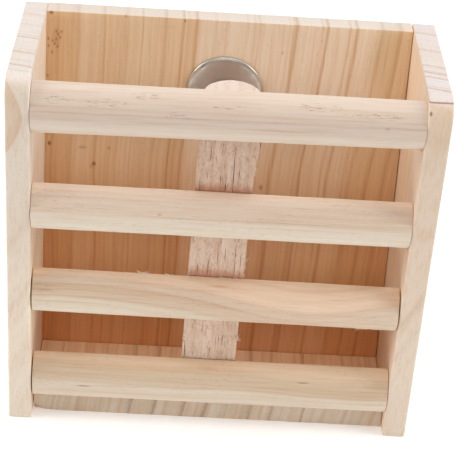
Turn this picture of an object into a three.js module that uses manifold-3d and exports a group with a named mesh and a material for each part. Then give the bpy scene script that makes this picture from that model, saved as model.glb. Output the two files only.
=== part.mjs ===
// Hay rack feeder: a small wedge-shaped wooden hay box for rabbits and other small livestock.
// Four boards make the box, four half-round slats close the slanted front, a half-round strut
// stiffens the slats from behind, and one bolt with a wing nut clamps the box to a wire wall.
// Millimetres, +Z up, +X to the right, the slatted front towards -Y.
// The origin is the centre of the footprint, at the height of the feet.
import * as THREE from "three";
import { mergeVertices } from "three/addons/utils/BufferGeometryUtils.js";
import Module from "manifold-3d";

const wasm = await Module();
wasm.setup();

// ---- driving dimensions ----
const WIDTH = 180;
const HEIGHT = 177;
const BASE_DEPTH = 62;
const TOP_DEPTH = 88;
const BOARD = 10;
const GAP = 0.3;

const CORNER_RADIUS = 9;
const FLOOR_SETBACK = 7.5;

const RACK_SETBACK = 9.9;
const SLAT_THICKNESS = 10.3;
const SLATS = [
  { name: "slat_top", height: 162.9, halfWidth: 11.3, tilt: 0.5 },
  { name: "slat_upper", height: 113.2, halfWidth: 10.7, tilt: 0 },
  { name: "slat_lower", height: 68.1, halfWidth: 10.6, tilt: -0.25 },
  { name: "slat_bottom", height: 20.7, halfWidth: 11.4, tilt: 0 },
];

const STRUT_RADIUS = 12.1;
const STRUT_TOP = 171.2;
const STRUT_FOOT_X = -1.8;
const STRUT_LEAN = 1;

const BOLT_X = -0.8;
const BOLT_Z = 143;
const BOLT_RADIUS = 2.85;
const BOLT_LENGTH = 35;
const HEAD_ACROSS_FLATS = 10;
const HEAD_HEIGHT = 4;
const TIP_CHAMFER = 0.8;
const WASHER_RADIUS = 17.3;
const WASHER_HOLE = 3.3;
const WASHER_THICKNESS = 1.5;
const WASHER_EDGE = 0.5;
const PANEL_HOLE = 3.5;
const NUT_BORE = 3.15;
const NUT_HEIGHT = 8;
const NUT_ANGLE = 20;
const WING_THICKNESS = 2.4;

const NAIL_RADIUS = 0.8;
const NAIL_HEAD_RADIUS = 1.4;
const NAIL_HEAD_HEIGHT = 0.7;
const NAIL_POINT = 2.5;
const NAIL_RECESS = 0.3;
const LONG_NAIL = 25;
const STRUT_NAIL = 19;
const FLOOR_NAIL_INSETS = [11, 12];
const BACK_NAIL_HEIGHTS = [24, 92, 160];
const REAR_NAIL_X = 40;
// Distance of a half ellipse's centroid from its flat side, as a share of its thickness.
const HALF_ROUND_CENTROID = 0.42;

const ROUND = 40;
const NAIL_SIDES = 10;

// ---- derived places ----
const backY = BASE_DEPTH / 2;
const frontBaseY = -BASE_DEPTH / 2;
const slope = Math.atan((TOP_DEPTH - BASE_DEPTH) / HEIGHT);
const insideX = WIDTH / 2 - BOARD;
const backInnerY = backY - BOARD;
const floorFrontY = frontBaseY + FLOOR_SETBACK;

const wood = (hex) => new THREE.MeshStandardMaterial({ color: hex, roughness: 0.75, metalness: 0 });
const steel = (hex) => new THREE.MeshStandardMaterial({ color: hex, roughness: 0.35, metalness: 1 });
const palePine = wood(0xead7c0);
const warmPine = wood(0xd9ab79);
const slatPine = wood(0xe3c7a6);
const roughPine = wood(0xdcc3ab);
const zincSteel = steel(0xb4b2ae);
const nailSteel = steel(0x9a9894);

// ---- solids and booleans ----
function asSolid(geometry) {
  const bare = geometry.clone();
  bare.deleteAttribute("normal");
  bare.deleteAttribute("uv");
  const merged = mergeVertices(bare, 1e-4);
  const corners = Array.from(merged.index.array);
  const faces = [];
  for (let i = 0; i < corners.length; i += 3) {
    const [a, b, c] = corners.slice(i, i + 3);
    if (a !== b && b !== c && c !== a) faces.push(a, b, c);
  }
  const vertProperties = new Float32Array(merged.attributes.position.array);
  return new wasm.Manifold(new wasm.Mesh({ numProp: 3, vertProperties, triVerts: new Uint32Array(faces) }));
}

function asGeometry(solid) {
  const mesh = solid.getMesh();
  const geometry = new THREE.BufferGeometry();
  geometry.setAttribute("position", new THREE.BufferAttribute(new Float32Array(mesh.vertProperties), 3));
  geometry.setIndex(new THREE.BufferAttribute(new Uint32Array(mesh.triVerts), 1));
  geometry.computeVertexNormals();
  return geometry;
}

// Cuts the clearance of each fastener out of a board, wherever the two stand.
function drill(board, fasteners) {
  board.updateWorldMatrix(true, false);
  const toBoard = board.matrixWorld.clone().invert();
  let solid = asSolid(board.geometry);
  for (const fastener of fasteners) {
    fastener.updateWorldMatrix(true, false);
    const cutter = fastener.userData.clearance.clone();
    cutter.applyMatrix4(toBoard.clone().multiply(fastener.matrixWorld));
    solid = solid.subtract(asSolid(cutter));
  }
  board.geometry = asGeometry(solid);
}

// A closed solid of revolution about its own Y axis, from [radius, height] pairs, lowest first.
function turned(profile, sides) {
  return new THREE.LatheGeometry(profile.map(([r, y]) => new THREE.Vector2(r, y)), sides);
}

// An outline drawn in Y and Z, made into a bar that runs along X and is centred on X = 0.
function barAlongX(outline, length) {
  const bar = new THREE.ExtrudeGeometry(outline, {
    depth: length,
    bevelEnabled: false,
    curveSegments: ROUND / 2,
  });
  bar.translate(0, 0, -length / 2);
  const yAxis = new THREE.Vector3(0, 1, 0);
  const zAxis = new THREE.Vector3(0, 0, 1);
  const xAxis = new THREE.Vector3(1, 0, 0);
  return bar.applyMatrix4(new THREE.Matrix4().makeBasis(yAxis, zAxis, xAxis));
}

function addMesh(parent, name, geometry, material) {
  const mesh = new THREE.Mesh(geometry, material);
  mesh.name = name;
  parent.add(mesh);
  return mesh;
}

// ---- the box ----
const feeder = new THREE.Group();

// A side panel: upright back edge, slanted front edge, rounded top front corner.
function sidePanelOutline() {
  const frontTopY = backY - TOP_DEPTH;
  const centreZ = HEIGHT - CORNER_RADIUS;
  const edgeY = frontTopY + CORNER_RADIUS * Math.tan(slope);
  const centreY = edgeY + CORNER_RADIUS / Math.cos(slope);
  const outline = new THREE.Shape();
  outline.moveTo(frontBaseY, 0);
  outline.lineTo(backY, 0);
  outline.lineTo(backY, HEIGHT);
  outline.lineTo(centreY, HEIGHT);
  outline.absarc(centreY, centreZ, CORNER_RADIUS, Math.PI / 2, Math.PI + slope, false);
  outline.closePath();
  return outline;
}

function addSidePanel(name, side) {
  const panel = addMesh(feeder, name, barAlongX(sidePanelOutline(), BOARD), palePine);
  panel.position.x = side * (WIDTH / 2 - BOARD / 2);
  return panel;
}

function addBoard(name, material, lowY, highY, height) {
  const board = addMesh(
    feeder,
    name,
    new THREE.BoxGeometry(2 * (insideX - GAP), highY - lowY, height),
    material,
  );
  board.position.set(0, (lowY + highY) / 2, height / 2);
  return board;
}

const leftPanel = addSidePanel("left_side_panel", -1);
const rightPanel = addSidePanel("right_side_panel", 1);
const backPanel = addBoard("back_panel", warmPine, backInnerY, backY, HEIGHT);
const bottomBoard = addBoard("bottom_board", warmPine, floorFrontY, backInnerY - GAP, BOARD);

// ---- the slatted rack, square to the slanted front edges ----
// Inside this group Z runs up the front edges and Y points into the box.
const rack = new THREE.Group();
rack.position.set(0, frontBaseY, 0);
rack.rotation.x = slope;
feeder.add(rack);

// Half of an ellipse: flat towards the inside of the box, round towards the front.
function halfRound(halfWidth, thickness, front) {
  const outline = new THREE.Shape();
  const from = front ? Math.PI / 2 : -Math.PI / 2;
  outline.absellipse(0, 0, thickness, halfWidth, from, from + Math.PI, false, 0);
  outline.closePath();
  return outline;
}

function addSlat({ name, height, halfWidth, tilt }) {
  const outline = halfRound(halfWidth, SLAT_THICKNESS, true);
  const slat = addMesh(rack, name, barAlongX(outline, 2 * (insideX - GAP)), slatPine);
  slat.position.set(0, RACK_SETBACK, height);
  slat.rotation.y = -THREE.MathUtils.degToRad(tilt);
  return slat;
}

const slats = SLATS.map(addSlat);

// The strut stands on the bottom board, its flat face against the flat backs of the slats.
function addStrut() {
  const foot = (BOARD + GAP - RACK_SETBACK * Math.sin(slope)) / Math.cos(slope);
  const length = STRUT_TOP - foot - GAP;
  const bar = barAlongX(halfRound(STRUT_RADIUS, STRUT_RADIUS, false), length);
  bar.translate(length / 2, 0, 0);
  bar.rotateY(-Math.PI / 2);
  const strut = addMesh(rack, "centre_strut", bar, roughPine);
  strut.position.set(STRUT_FOOT_X, RACK_SETBACK + GAP, foot + GAP);
  strut.rotation.y = THREE.MathUtils.degToRad(STRUT_LEAN);
  return strut;
}

const strut = addStrut();
const strutX = (height) => STRUT_FOOT_X + (height - BOARD) * Math.tan(THREE.MathUtils.degToRad(STRUT_LEAN));

// ---- nails ----
// A nail lies along its own -Y, with its head just under the surface that it is driven into.
function nailProfile(length, grow) {
  const head = -NAIL_RECESS;
  return [
    [0, -length - grow],
    [NAIL_RADIUS + grow, -length + NAIL_POINT - grow],
    [NAIL_RADIUS + grow, head - NAIL_HEAD_HEIGHT - grow],
    [NAIL_HEAD_RADIUS + grow, head - grow],
    [NAIL_HEAD_RADIUS + grow, head + (grow > 0 ? 1 : 0)],
    [0, head + (grow > 0 ? 1 : 0)],
  ];
}

function addNail(parent, name, place, direction, length) {
  const nail = addMesh(parent, name, turned(nailProfile(length, 0), NAIL_SIDES), nailSteel);
  nail.userData.clearance = turned(nailProfile(length, GAP), NAIL_SIDES);
  nail.position.set(...place);
  nail.quaternion.setFromUnitVectors(new THREE.Vector3(0, -1, 0), new THREE.Vector3(...direction));
  return nail;
}

const sides = [
  { label: "left", sign: -1, panel: leftPanel },
  { label: "right", sign: 1, panel: rightPanel },
];
const slatNailY = RACK_SETBACK - HALF_ROUND_CENTROID * SLAT_THICKNESS;
const floorNailYs = [floorFrontY + FLOOR_NAIL_INSETS[0], backInnerY - FLOOR_NAIL_INSETS[1]];
const tiltRise = (slat, x) => x * Math.tan(THREE.MathUtils.degToRad(slat.tilt));

for (const { label, sign, panel } of sides) {
  const inward = [-sign, 0, 0];
  const outsideX = (sign * WIDTH) / 2;
  SLATS.forEach((slat, i) => {
    const rise = tiltRise(slat, sign * insideX);
    const name = `nail_${slat.name}_${label}`;
    const nail = addNail(rack, name, [outsideX, slatNailY, slat.height + rise], inward, LONG_NAIL);
    drill(slats[i], [nail]);
    drill(panel, [nail]);
  });
  const floorNails = floorNailYs.map((y, i) =>
    addNail(feeder, `nail_floor_${label}_${i + 1}`, [outsideX, y, BOARD / 2], inward, LONG_NAIL),
  );
  const backNails = BACK_NAIL_HEIGHTS.map((z, i) =>
    addNail(feeder, `nail_back_${label}_${i + 1}`, [outsideX, backY - BOARD / 2, z], inward, LONG_NAIL),
  );
  drill(bottomBoard, floorNails);
  drill(backPanel, backNails);
  drill(panel, [...floorNails, ...backNails]);
}

// Two nails through the back panel hold the rear edge of the bottom board.
const rearNails = [-1, 1].map((sign, i) =>
  addNail(feeder, `nail_rear_${i + 1}`, [sign * REAR_NAIL_X, backY, BOARD / 2], [0, -1, 0], LONG_NAIL),
);
drill(backPanel, rearNails);
drill(bottomBoard, rearNails);

// One nail from the round back of the strut into each slat.
SLATS.forEach((slat, i) => {
  const place = [strutX(slat.height), RACK_SETBACK + GAP + STRUT_RADIUS, slat.height];
  const nail = addNail(rack, `nail_strut_${slat.name}`, place, [0, -1, 0], STRUT_NAIL);
  drill(strut, [nail]);
  drill(slats[i], [nail]);
});

// ---- clamping hardware through the back panel ----
// Inside this group Y runs along the bolt, from the inner face of the back panel outwards.
const clamp = new THREE.Group();
clamp.position.set(BOLT_X, backInnerY, BOLT_Z);
feeder.add(clamp);

function addWasher(name, lowY) {
  const high = WASHER_THICKNESS;
  const ring = [
    [WASHER_HOLE, 0],
    [WASHER_RADIUS - WASHER_EDGE, 0],
    [WASHER_RADIUS, WASHER_EDGE],
    [WASHER_RADIUS, high - WASHER_EDGE],
    [WASHER_RADIUS - WASHER_EDGE, high],
    [WASHER_HOLE, high],
    [WASHER_HOLE, 0],
  ];
  const washer = addMesh(clamp, name, turned(ring, ROUND), zincSteel);
  washer.position.y = lowY;
  return washer;
}

addWasher("inner_washer", -GAP - WASHER_THICKNESS);
addWasher("outer_washer", BOARD + GAP);

const headFaceY = -2 * GAP - WASHER_THICKNESS;

// Hexagon head inside the box, shank pointing out of the back.
function addBolt() {
  const headRadius = HEAD_ACROSS_FLATS / Math.sqrt(3);
  const head = new THREE.CylinderGeometry(headRadius, headRadius, HEAD_HEIGHT, 6);
  head.translate(0, -HEAD_HEIGHT / 2, 0);
  const shank = turned(
    [
      [0, -HEAD_HEIGHT / 2],
      [BOLT_RADIUS, -HEAD_HEIGHT / 2],
      [BOLT_RADIUS, BOLT_LENGTH - TIP_CHAMFER],
      [BOLT_RADIUS - TIP_CHAMFER, BOLT_LENGTH],
      [0, BOLT_LENGTH],
    ],
    ROUND / 2,
  );
  const bolt = addMesh(clamp, "mounting_bolt", asGeometry(asSolid(head).add(asSolid(shank))), zincSteel);
  bolt.position.y = headFaceY;
  return bolt;
}

addBolt();

// One wing of the nut, drawn in X (outwards) and Y (along the bolt).
function wingOutline() {
  const outline = new THREE.Shape();
  outline.moveTo(3.6, 0.4);
  outline.quadraticCurveTo(8, 1, 10.5, 4);
  outline.quadraticCurveTo(12.5, 6.4, 15, 9.2);
  outline.absarc(13.1, 11.6, 3, -0.9, 2.3, false);
  outline.quadraticCurveTo(8.6, 9.4, 3.6, 6.8);
  outline.closePath();
  return outline;
}

function addWingNut() {
  const hub = turned(
    [
      [0, 0],
      [6, 0],
      [6, 1.2],
      [4.9, NUT_HEIGHT - 0.6],
      [4.4, NUT_HEIGHT],
      [0, NUT_HEIGHT],
    ],
    ROUND / 2,
  );
  const wing = new THREE.ExtrudeGeometry(wingOutline(), {
    depth: WING_THICKNESS,
    bevelEnabled: false,
    curveSegments: 8,
  });
  wing.translate(0, 0, -WING_THICKNESS / 2);
  const otherWing = wing.clone().rotateY(Math.PI);
  const bore = new THREE.CylinderGeometry(NUT_BORE, NUT_BORE, 4 * NUT_HEIGHT, ROUND / 2);
  const body = asSolid(hub).add(asSolid(wing)).add(asSolid(otherWing)).subtract(asSolid(bore));
  const nut = addMesh(clamp, "wing_nut", asGeometry(body), zincSteel);
  nut.position.y = BOARD + 2 * GAP + WASHER_THICKNESS;
  nut.rotation.y = THREE.MathUtils.degToRad(NUT_ANGLE);
  return nut;
}

addWingNut();

// The bolt's hole through the back panel.
function boreBackPanel() {
  backPanel.updateWorldMatrix(true, false);
  const hole = new THREE.CylinderGeometry(PANEL_HOLE, PANEL_HOLE, 2 * BOARD, ROUND / 2);
  hole.translate(BOLT_X - backPanel.position.x, 0, BOLT_Z - backPanel.position.z);
  backPanel.geometry = asGeometry(asSolid(backPanel.geometry).subtract(asSolid(hole)));
}

boreBackPanel();

export default feeder;
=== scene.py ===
"""The looks of the hay rack feeder: sanded pine with its grain and knots, and zinc-plated hardware.

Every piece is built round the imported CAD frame, in metres, and rides on one of its bodies.
Lengths in this script are millimetres times MM.
"""

import math

import bmesh
import bpy
import numpy as np
from mathutils import Matrix, Vector


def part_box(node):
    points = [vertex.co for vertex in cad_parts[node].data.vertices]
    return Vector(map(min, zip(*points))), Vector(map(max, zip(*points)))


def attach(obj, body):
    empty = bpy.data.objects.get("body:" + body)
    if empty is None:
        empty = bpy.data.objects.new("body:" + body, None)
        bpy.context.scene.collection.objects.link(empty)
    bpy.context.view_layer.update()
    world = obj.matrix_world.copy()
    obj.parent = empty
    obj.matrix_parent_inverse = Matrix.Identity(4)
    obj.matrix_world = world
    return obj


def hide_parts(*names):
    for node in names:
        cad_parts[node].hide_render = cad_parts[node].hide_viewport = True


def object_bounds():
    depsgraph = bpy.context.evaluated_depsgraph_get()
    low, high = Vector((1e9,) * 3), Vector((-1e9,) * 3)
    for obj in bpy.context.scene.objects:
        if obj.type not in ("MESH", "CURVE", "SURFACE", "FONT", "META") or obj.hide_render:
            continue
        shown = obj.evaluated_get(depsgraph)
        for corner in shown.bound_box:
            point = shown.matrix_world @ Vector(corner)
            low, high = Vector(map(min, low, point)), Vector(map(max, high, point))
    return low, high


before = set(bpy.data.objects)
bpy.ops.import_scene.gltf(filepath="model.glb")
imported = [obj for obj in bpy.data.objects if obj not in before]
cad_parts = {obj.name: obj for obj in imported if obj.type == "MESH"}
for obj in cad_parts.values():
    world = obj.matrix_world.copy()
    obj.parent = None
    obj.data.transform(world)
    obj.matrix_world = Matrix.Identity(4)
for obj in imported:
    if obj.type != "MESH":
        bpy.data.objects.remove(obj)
cad_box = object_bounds()

MM = 0.001

# ---- edges and mesh density ----
BOARD_EDGE = 0.7 * MM
INNER_EDGE = 0.25 * MM
SLAT_END_EDGE = 0.15 * MM
SLAT_EDGE = 0.45 * MM
STRUT_EDGE = 0.4 * MM
CORNER_RADIUS = 9 * MM
EDGE_POINTS = 4
ARC_STEP = 1 * MM
BOARD_STEP = 2.5 * MM
SHARP_ANGLE = math.radians(48)
WELD_DISTANCE = 0.002 * MM

# ---- directions ----
RIGHT = np.array([1.0, 0.0, 0.0])
BACK = np.array([0.0, 1.0, 0.0])
UP = np.array([0.0, 0.0, 1.0])


# ---- places, read from the frame ----
def mesh_points(mesh):
    flat = np.zeros(3 * len(mesh.vertices))
    mesh.vertices.foreach_get("co", flat)
    return flat.reshape(-1, 3)


def node_points(node):
    return mesh_points(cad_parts[node].data)


def corners_of(node):
    low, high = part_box(node)
    return np.array(low), np.array(high)


# The front edge of a side panel leans forwards: its slope is taken above the foot's rounding.
side_points = node_points("left_side_panel")
FRONT_FOOT_Y = side_points[side_points[:, 2] < 1 * MM][:, 1].min()
upper_points = side_points[side_points[:, 2] > 50 * MM]
SLOPE = math.atan(((FRONT_FOOT_Y - upper_points[:, 1]) / upper_points[:, 2]).max())

# The rack frame: x, into the box, and up the slanted front edge, from the foot of that edge.
INWARD = np.array([0.0, math.cos(SLOPE), math.sin(SLOPE)])
UPWARD = np.array([0.0, -math.sin(SLOPE), math.cos(SLOPE)])
RACK_ORIGIN = np.array([0.0, FRONT_FOOT_Y, 0.0])
RACK_AXES = np.array([RIGHT, INWARD, UPWARD])


def to_rack(points):
    return (points - RACK_ORIGIN) @ RACK_AXES.T


def from_rack(points):
    return points @ RACK_AXES + RACK_ORIGIN


# ---- meshes ----
def unit(vector):
    return vector / np.linalg.norm(vector)


def waves(points, wavelengths, seed, count=7):
    """Smooth unevenness from about -1 to 1: sine waves in set directions."""
    draw = np.random.default_rng(seed)
    directions = draw.normal(size=(count, 3))
    directions /= np.linalg.norm(directions, axis=1)[:, None]
    lengths = np.array(wavelengths) * draw.uniform(0.6, 1.5, (count, 1))
    turns = 2 * math.pi * directions / lengths
    phases = draw.uniform(0, 2 * math.pi, count)
    return np.sin(points @ turns.T + phases).sum(axis=1) / (0.8 * count)


def solid(name, vertices, faces):
    mesh = bpy.data.meshes.new(name)
    mesh.from_pydata(np.asarray(vertices).tolist(), [], faces)
    work = bmesh.new()
    work.from_mesh(mesh)
    bmesh.ops.remove_doubles(work, verts=work.verts, dist=WELD_DISTANCE)
    bmesh.ops.recalc_face_normals(work, faces=work.faces)
    work.to_mesh(mesh)
    work.free()
    return mesh


def closed_mesh(name, rings, tips):
    """A mesh through rings of points, closed at both ends by fans to the two tips."""
    layers, count = rings.shape[:2]
    vertices = np.concatenate([rings.reshape(-1, 3), np.array(tips)])
    index = np.arange(layers * count).reshape(layers, count)
    after = np.roll(index, -1, axis=1)
    quads = np.stack([index[:-1], after[:-1], after[1:], index[1:]], axis=-1).reshape(-1, 4)
    first, last = layers * count, layers * count + 1
    fans = [(first, b, a) for a, b in zip(index[0], after[0])]
    fans += [(last, a, b) for a, b in zip(index[-1], after[-1])]
    return solid(name, vertices, quads.tolist() + fans)


def tube_mesh(name, rings):
    """A ring-shaped mesh whose last loop joins its first."""
    layers, count = rings.shape[:2]
    index = np.arange(layers * count).reshape(layers, count)
    after = np.roll(index, -1, axis=1)
    above, above_after = np.roll(index, -1, axis=0), np.roll(after, -1, axis=0)
    quads = np.stack([index, after, above_after, above], axis=-1).reshape(-1, 4)
    return solid(name, rings.reshape(-1, 3), quads.tolist())


def rounded_outline(corners, radii, edge, step):
    """Core points and outward normals, anticlockwise round a polygon with rounded corners.

    The outline itself lies one edge radius outside the core."""
    corners = np.array(corners, float)
    outward = [unit(np.array([y, -x])) for x, y in np.roll(corners, -1, axis=0) - corners]
    arcs = []
    for i, (corner, radius) in enumerate(zip(corners, radii)):
        start = math.atan2(outward[i - 1][1], outward[i - 1][0])
        turn = (math.atan2(outward[i][1], outward[i][0]) - start) % (2 * math.pi)
        centre = corner - unit(outward[i - 1] + outward[i]) * radius / math.cos(turn / 2)
        arc_points = max(EDGE_POINTS, round(radius * turn / ARC_STEP))
        angles = np.linspace(start, start + turn, arc_points)
        normals = np.column_stack([np.cos(angles), np.sin(angles)])
        arcs.append((centre + (radius - edge) * normals, normals))
    core, core_normals = [], []
    for i, (arc, normals) in enumerate(arcs):
        run = arcs[(i + 1) % len(arcs)][0][0] - arc[-1]
        pieces = max(1, round(np.linalg.norm(run) / step))
        core += [arc, arc[-1] + run * np.arange(1, pieces)[:, None] / pieces]
        core_normals += [normals, np.tile(outward[i], (pieces - 1, 1))]
    return np.concatenate(core), np.concatenate(core_normals)


def half_round_outline(thickness, half_width, bulge, edge, flat_step, round_points=33):
    """Core points and normals of a half ellipse, (inward, up): its flat side is at 0, and its
    round side lies towards bulge."""
    depth = thickness - 2 * edge
    half = half_width - edge
    swing = np.linspace(-math.pi / 2, math.pi / 2, round_points)
    core = np.column_stack([bulge * (edge + depth * np.cos(swing)), half * np.sin(swing)])
    normals = np.column_stack([bulge * np.cos(swing) / depth, np.sin(swing) / half])
    normals /= np.linalg.norm(normals, axis=1)[:, None]
    corner = np.linspace(0, math.pi / 2, EDGE_POINTS)
    top_turn = np.column_stack([-bulge * np.sin(corner), np.cos(corner)])[1:]
    foot_turn = np.column_stack([-bulge * np.cos(corner), -np.sin(corner)])[:-1]
    flat = np.arange(half - flat_step, -half + flat_step / 2, -flat_step)
    flat_core = np.column_stack([np.full(len(flat), bulge * edge), flat])
    flat_normals = np.tile([-bulge, 0.0], (len(flat), 1))
    top_core = np.tile([bulge * edge, half], (len(top_turn), 1))
    foot_core = np.tile([bulge * edge, -half], (len(foot_turn), 1))
    return (
        np.concatenate([core, top_core, flat_core, foot_core]),
        np.concatenate([normals, top_turn, flat_normals, foot_turn]),
    )


def bar(name, outline, ends, step, edge, place, cap_step, end_edge=None):
    """The outline carried between the two ends with all its edges rounded; place puts its
    (u, v, s) points in the frame."""
    core, normals = outline
    low, high = ends
    end_edge = edge if end_edge is None else end_edge
    quarter = np.linspace(0, math.pi / 2, EDGE_POINTS)
    face = core + (edge - end_edge) * normals
    centre = (face.min(axis=0) + face.max(axis=0)) / 2
    reach = np.linalg.norm(face - centre, axis=1).max()
    shares = np.linspace(0, 1, max(2, round(reach / cap_step)) + 1)[1:-1]
    cap = [centre + (face - centre) * share for share in shares]
    turns = [
        (face + end_edge * math.sin(a) * normals, end_edge * (1 - math.cos(a))) for a in quarter
    ]
    pieces = max(2, round((high - low) / step))
    between = np.linspace(low + end_edge, high - end_edge, pieces + 1)[1:-1]
    layers = [(ring, low) for ring in cap]
    layers += [(ring, low + drop) for ring, drop in turns]
    layers += [(core + edge * normals, s) for s in between]
    layers += [(ring, high - drop) for ring, drop in reversed(turns)]
    layers += [(ring, high) for ring in reversed(cap)]
    flat = [np.column_stack([ring, np.full(len(ring), s)]) for ring, s in layers]
    tips = place(np.array([[*centre, low], [*centre, high]]))
    rings = place(np.concatenate(flat)).reshape(len(layers), len(core), 3)
    return closed_mesh(name, rings, tips)


def turned(name, profile, sides, foot, axis):
    """A solid of revolution from (radius, height) pairs, lowest first, standing on foot along
    axis. A profile that ends where it starts makes a ring."""
    axis = unit(np.array(axis, float))
    across = unit(np.cross(axis, UP if abs(axis[2]) < 0.9 else RIGHT))
    other = np.cross(axis, across)
    angles = np.linspace(0, 2 * math.pi, sides, endpoint=False)
    around = np.cos(angles)[:, None] * across + np.sin(angles)[:, None] * other
    rings = np.array([foot + height * axis + radius * around for radius, height in profile])
    if profile[0] == profile[-1]:
        return tube_mesh(name, rings[:-1])
    tips = [foot + profile[0][1] * axis, foot + profile[-1][1] * axis]
    return closed_mesh(name, rings, tips)


def roughen(mesh, layers, dents=()):
    """Moves the surface in and out by waves of (amount, wavelengths, seed), and presses dents
    of (centre, radii, depth) in it."""
    points = mesh_points(mesh)
    normals = np.zeros(3 * len(points))
    mesh.vertex_normals.foreach_get("vector", normals)
    move = np.zeros(len(points))
    for amount, wavelengths, seed in layers:
        move += amount * waves(points, wavelengths, seed)
    for centre, radii, depth in dents:
        away = np.linalg.norm((points - np.array(centre)) / np.array(radii), axis=1)
        move -= depth * np.exp(-(away**2))
    moved = points + normals.reshape(-1, 3) * move[:, None]
    mesh.vertices.foreach_set("co", moved.ravel())
    mesh.update()


def linked(name, data):
    thing = bpy.data.objects.new(name, data)
    bpy.context.scene.collection.objects.link(thing)
    return thing


def rough_bar(name, outline, ends, step, edge, place, cap_step, layers, dents=(), end_edge=None):
    """A bar in the scene, with its surface roughened."""
    mesh = bar(name, outline, ends, step, edge, place, cap_step, end_edge)
    roughen(mesh, layers, dents)
    return linked(name, mesh)


def joined(name, meshes):
    """One mesh of several closed ones."""
    work = bmesh.new()
    for mesh in meshes:
        work.from_mesh(mesh)
    result = bpy.data.meshes.new(name)
    work.to_mesh(result)
    work.free()
    for mesh in meshes:
        bpy.data.meshes.remove(mesh)
    return result


def apply_modifiers(thing):
    """Gives the object its mesh with the modifiers applied, and removes them."""
    graph = bpy.context.evaluated_depsgraph_get()
    mesh = bpy.data.meshes.new_from_object(thing.evaluated_get(graph))
    old = thing.data
    thing.modifiers.clear()
    thing.data = mesh
    bpy.data.meshes.remove(old)


def drill(thing, cutters):
    """Cuts the closed meshes out of the piece."""
    tool = linked("cutter", joined("cutter", cutters))
    cut = thing.modifiers.new("holes", "BOOLEAN")
    cut.operation = "DIFFERENCE"
    cut.solver = "EXACT"
    cut.object = tool
    apply_modifiers(thing)
    bpy.data.objects.remove(tool)


def finish_piece(thing, material, body, slot, *nodes):
    """Shading, material, body and the CAD nodes that the piece stands for; slot is not used."""
    thing.data.materials.clear()
    thing.data.materials.append(material)
    thing.data.shade_smooth()
    thing.data.set_sharp_from_angle(angle=SHARP_ANGLE)
    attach(thing, body)
    if nodes:
        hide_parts(*nodes)


# ---- materials ----
class Shader:
    """Short ways to add and join the nodes of one material."""

    def __init__(self, name):
        self.material = bpy.data.materials.new(name)
        self.material.use_nodes = True
        self.nodes = self.material.node_tree.nodes
        self.links = self.material.node_tree.links
        self.surface = self.nodes["Principled BSDF"]

    def feed(self, socket, value):
        if isinstance(value, bpy.types.NodeSocket):
            self.links.new(value, socket)
        else:
            socket.default_value = value

    def node(self, kind, values, **settings):
        made = self.nodes.new(kind)
        for key, setting in settings.items():
            setattr(made, key, setting)
        for key, value in values.items():
            self.feed(made.inputs[key], value)
        return made

    def math(self, operation, *values, clamp=False):
        inputs = dict(enumerate(values))
        return self.node("ShaderNodeMath", inputs, operation=operation, use_clamp=clamp).outputs[0]

    def times(self, first, second):
        return self.math("MULTIPLY", first, second)

    def minus(self, first, second):
        return self.math("SUBTRACT", first, second)

    def scaled_on(self, value, factor, base):
        """value times factor, on top of base."""
        return self.math("MULTIPLY_ADD", value, factor, base)

    def shaken(self, base, noise, amount):
        """base moved by a noise that lies round a half."""
        return self.scaled_on(self.minus(noise, 0.5), amount, base)

    def vector(self, operation, *values):
        made = self.node("ShaderNodeVectorMath", dict(enumerate(values)), operation=operation)
        return made.outputs["Value" if operation in ("DOT_PRODUCT", "LENGTH") else "Vector"]

    def combine(self, x, y, z):
        return self.node("ShaderNodeCombineXYZ", {0: x, 1: y, 2: z}).outputs[0]

    def noise(self, place, rates, detail=2.0, roughness=0.5, distortion=0.0):
        """Noise over three coordinates, each times its rate per millimetre."""
        vector = self.combine(*[self.times(c, rate) for c, rate in zip(place, rates)])
        values = {"Vector": vector, "Scale": 1.0, "Detail": detail, "Roughness": roughness,
                  "Distortion": distortion}
        return self.node("ShaderNodeTexNoise", values).outputs[0]

    def smooth(self, value, low, high, to_low=0.0, to_high=1.0):
        values = {0: value, 1: low, 2: high, 3: to_low, 4: to_high}
        return self.node("ShaderNodeMapRange", values, interpolation_type="SMOOTHSTEP").outputs[0]

    def ramp(self, value, stops, span):
        """A colour ramp over span; stops are (place, colour) or (place, number)."""
        low, high = span
        share = self.node("ShaderNodeMapRange", {0: value, 1: low, 2: high}).outputs[0]
        made = self.node("ShaderNodeValToRGB", {0: share})
        elements = made.color_ramp.elements
        while len(elements) < len(stops):
            elements.new(0.5)
        for i, (place, tone) in enumerate(stops):
            tone = (tone,) * 3 if isinstance(tone, (int, float)) else tone
            elements[i].position = (place - low) / (high - low)
            elements[i].color = (*tone, 1.0)
        return made.outputs[0]

    def mix(self, factor, first, second, blend="MIX"):
        """Mixes two colours; each is a socket or an (r, g, b)."""
        first, second = ((*c, 1.0) if isinstance(c, tuple) else c for c in (first, second))
        values = {0: factor, 6: first, 7: second}
        return self.node("ShaderNodeMix", values, data_type="RGBA", blend_type=blend).outputs[2]

    def tint(self, colour, amount, by):
        """The colour multiplied by a tint, as far as amount says."""
        return self.mix(amount, colour, by, "MULTIPLY")

    def bump(self, height, distance, strength):
        relief = self.node(
            "ShaderNodeBump", {"Height": height, "Distance": distance, "Strength": strength}
        )
        self.feed(self.surface.inputs["Normal"], relief.outputs[0])


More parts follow.
